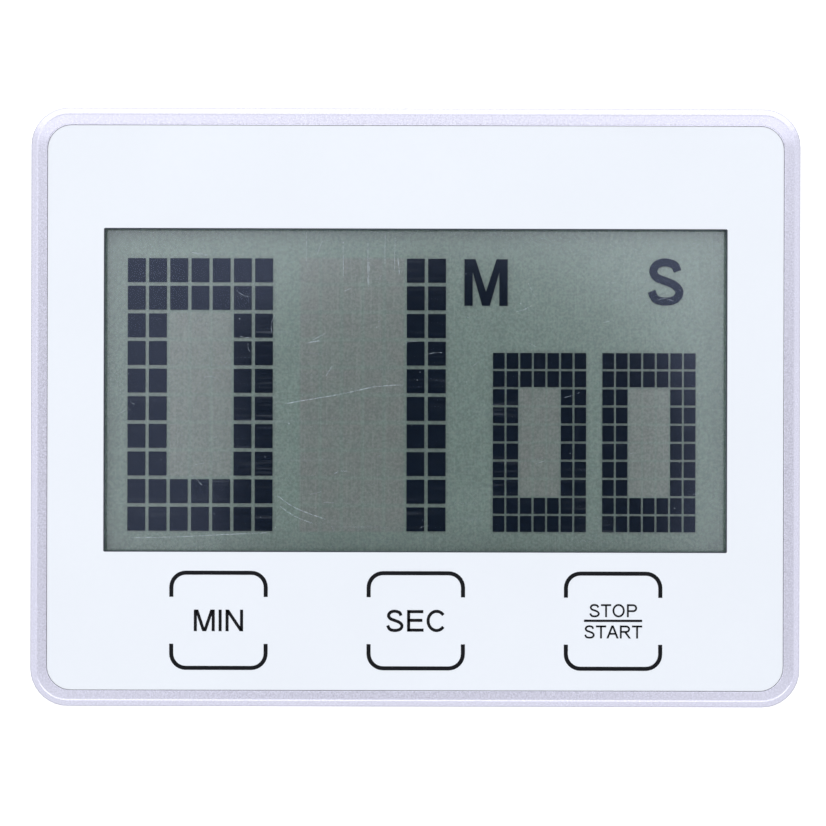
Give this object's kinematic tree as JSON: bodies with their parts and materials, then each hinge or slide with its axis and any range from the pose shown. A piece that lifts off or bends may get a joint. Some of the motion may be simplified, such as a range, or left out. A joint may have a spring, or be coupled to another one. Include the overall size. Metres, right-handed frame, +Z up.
{
  "type": "kitchen timer",
  "caption": "Slim upright digital timer with a block-digit display, touch keys, a folding rear stand, a sliding battery door and back magnets.",
  "frame": {"origin": "centre of the foot: middle of the overall box in X and Y, with z = 0 on the table", "axes": "+Z up, the display faces -Y, +X to the right of a viewer who faces the display"},
  "size_m": [0.09, 0.017, 0.07],
  "materials": {
    "silver_paint": "silver-lilac metallic paint on moulded plastic",
    "white_print": "white printed sheet with a smooth surface",
    "clear_plastic": "clear, with fine scratches",
    "lcd_film": "grey-green polarising film",
    "glass": "polished",
    "white_plastic": "moulded",
    "black_rubber": "moulded",
    "tape": "double-sided adhesive film",
    "amber_film": "polyimide film",
    "green_board": "solder mask on glass-fibre laminate",
    "black_resin": "moulded or cast",
    "nickel": "nickel plated",
    "steel": "zinc plated",
    "brass": "rolled sheet",
    "ceramic": "silvered ceramic",
    "cell_wrap": "printed film over a metal can",
    "red_wire": "PVC insulation",
    "black_wire": "PVC insulation"
  },
  "bodies": {
    "case": {"front_case": "silver_paint", "rear_cover": "silver_paint", "fascia_panel": "white_print", "fascia_tape": "tape", "display_lens": "clear_plastic", "touch_film": "amber_film", "film_connector": "white_plastic", "lcd_front_polarizer": "lcd_film", "lcd_front_glass": "glass", "lcd_rear_glass": "glass", "lcd_rear_polarizer": "nickel", "zebra_strip": "black_rubber", "lcd_holder": "white_plastic", "main_board": "green_board", "board_screw_1": "steel", "board_screw_2": "steel", "board_screw_3": "steel", "board_screw_4": "steel", "controller_blob": "black_resin", "touch_chip": "black_resin", "crystal_can": "nickel", "capacitor_can": "nickel", "boost_coil": "black_resin", "transistor": "black_resin", "switch_body": "steel", "case_screw_1": "steel", "case_screw_2": "steel", "case_screw_3": "steel", "case_screw_4": "steel", "battery_cell": "cell_wrap", "contact_positive": "nickel", "contact_spring": "nickel", "battery_wire_red": "red_wire", "battery_wire_black": "black_wire", "magnet_left": "nickel", "magnet_right": "nickel", "piezo_plate": "brass", "piezo_ceramic": "ceramic", "buzzer_wire_red": "red_wire", "buzzer_wire_black": "black_wire"},
    "stand": {"stand": "silver_paint"},
    "battery_door": {"battery_door": "silver_paint"},
    "power_switch": {"switch_knob": "black_resin", "switch_lever": "black_resin"}
  },
  "joints": [
    {"name": "stand_hinge", "type": "hinge", "parent": "case", "child": "stand", "pos_m": [0, 0.0068, 0.0055], "axis": [-1, 0, 0], "range_deg": [0, 75]},
    {"name": "battery_door_slide", "type": "slide", "parent": "case", "child": "battery_door", "axis": [0, 0, -1], "range_m": [0, 0.017]},
    {"name": "power_switch_slide", "type": "slide", "parent": "case", "child": "power_switch", "axis": [1, 0, 0], "range_m": [0, 0.002]}
  ]
}
